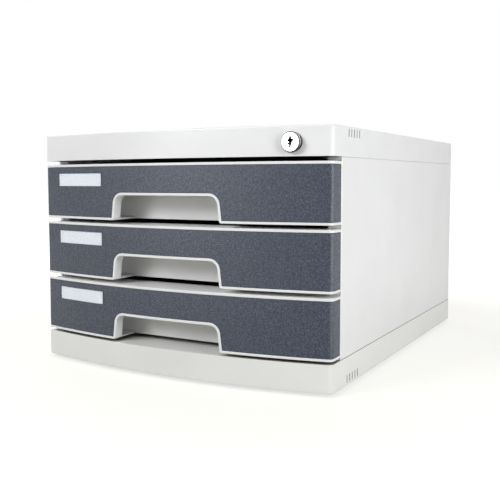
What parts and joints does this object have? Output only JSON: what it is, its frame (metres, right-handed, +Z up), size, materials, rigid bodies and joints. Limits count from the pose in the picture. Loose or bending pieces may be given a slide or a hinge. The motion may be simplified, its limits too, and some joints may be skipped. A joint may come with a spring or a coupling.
{
  "type": "desktop file drawer cabinet",
  "caption": "Bow-fronted plastic desktop file cabinet with stacked sliding drawers, finger recesses, label windows and a key lock that works a lock bar.",
  "frame": {"origin": "on the resting surface, under the centre of the overall box", "axes": "+X to the right seen from the front, +Y to the back, +Z up"},
  "size_m": [0.302, 0.395, 0.218],
  "materials": {
    "ivory_plastic": "moulded ABS, pale warm grey, fine satin",
    "slate_plastic": "moulded ABS, slate grey with a fine leather grain",
    "clear_plastic": "clear polystyrene sheet",
    "white_card": "plain white card",
    "black_rubber": "moulded rubber",
    "chrome": "polished chrome plate",
    "steel": "zinc-plated steel"
  },
  "bodies": {
    "cabinet": {"top_cover": "ivory_plastic", "base": "ivory_plastic", "left_side_panel": "ivory_plastic", "right_side_panel": "ivory_plastic", "back_panel": "ivory_plastic", "rubber_feet": "black_rubber", "base_screws": "steel", "cover_screws": "steel", "lock_housing": "chrome", "lock_nut": "steel"},
    "drawer_top": {"front_top": "ivory_plastic", "face_panel_top": "slate_plastic", "tray_top": "ivory_plastic", "label_card_top": "white_card", "label_window_top": "clear_plastic", "front_screws_top": "steel"},
    "drawer_middle": {"front_middle": "ivory_plastic", "face_panel_middle": "slate_plastic", "tray_middle": "ivory_plastic", "label_card_middle": "white_card", "label_window_middle": "clear_plastic", "front_screws_middle": "steel"},
    "drawer_bottom": {"front_bottom": "ivory_plastic", "face_panel_bottom": "slate_plastic", "tray_bottom": "ivory_plastic", "label_card_bottom": "white_card", "label_window_bottom": "clear_plastic", "front_screws_bottom": "steel"},
    "lock_cylinder": {"lock_plug": "chrome", "lock_cam": "steel", "cam_screw": "steel"},
    "bar": {"lock_bar": "steel"}
  },
  "joints": [
    {"name": "top_slide", "type": "slide", "parent": "cabinet", "child": "drawer_top", "axis": [0, -1, 0], "range_m": [0, 0.25]},
    {"name": "middle_slide", "type": "slide", "parent": "cabinet", "child": "drawer_middle", "axis": [0, -1, 0], "range_m": [0, 0.25]},
    {"name": "bottom_slide", "type": "slide", "parent": "cabinet", "child": "drawer_bottom", "axis": [0, -1, 0], "range_m": [0, 0.25]},
    {"name": "key_turn", "type": "hinge", "parent": "cabinet", "child": "lock_cylinder", "pos_m": [0.1185, -0.17, 0.2045], "axis": [0, 1, 0], "range_deg": [0, 90]},
    {"name": "bar_lift", "type": "slide", "parent": "cabinet", "child": "bar", "axis": [0, 0, 1], "range_m": [0, 0.008]}
  ],
  "couplings": [
    {"joint": "key_turn", "follows": "bar_lift", "rad_per_m": 196.3}
  ]
}
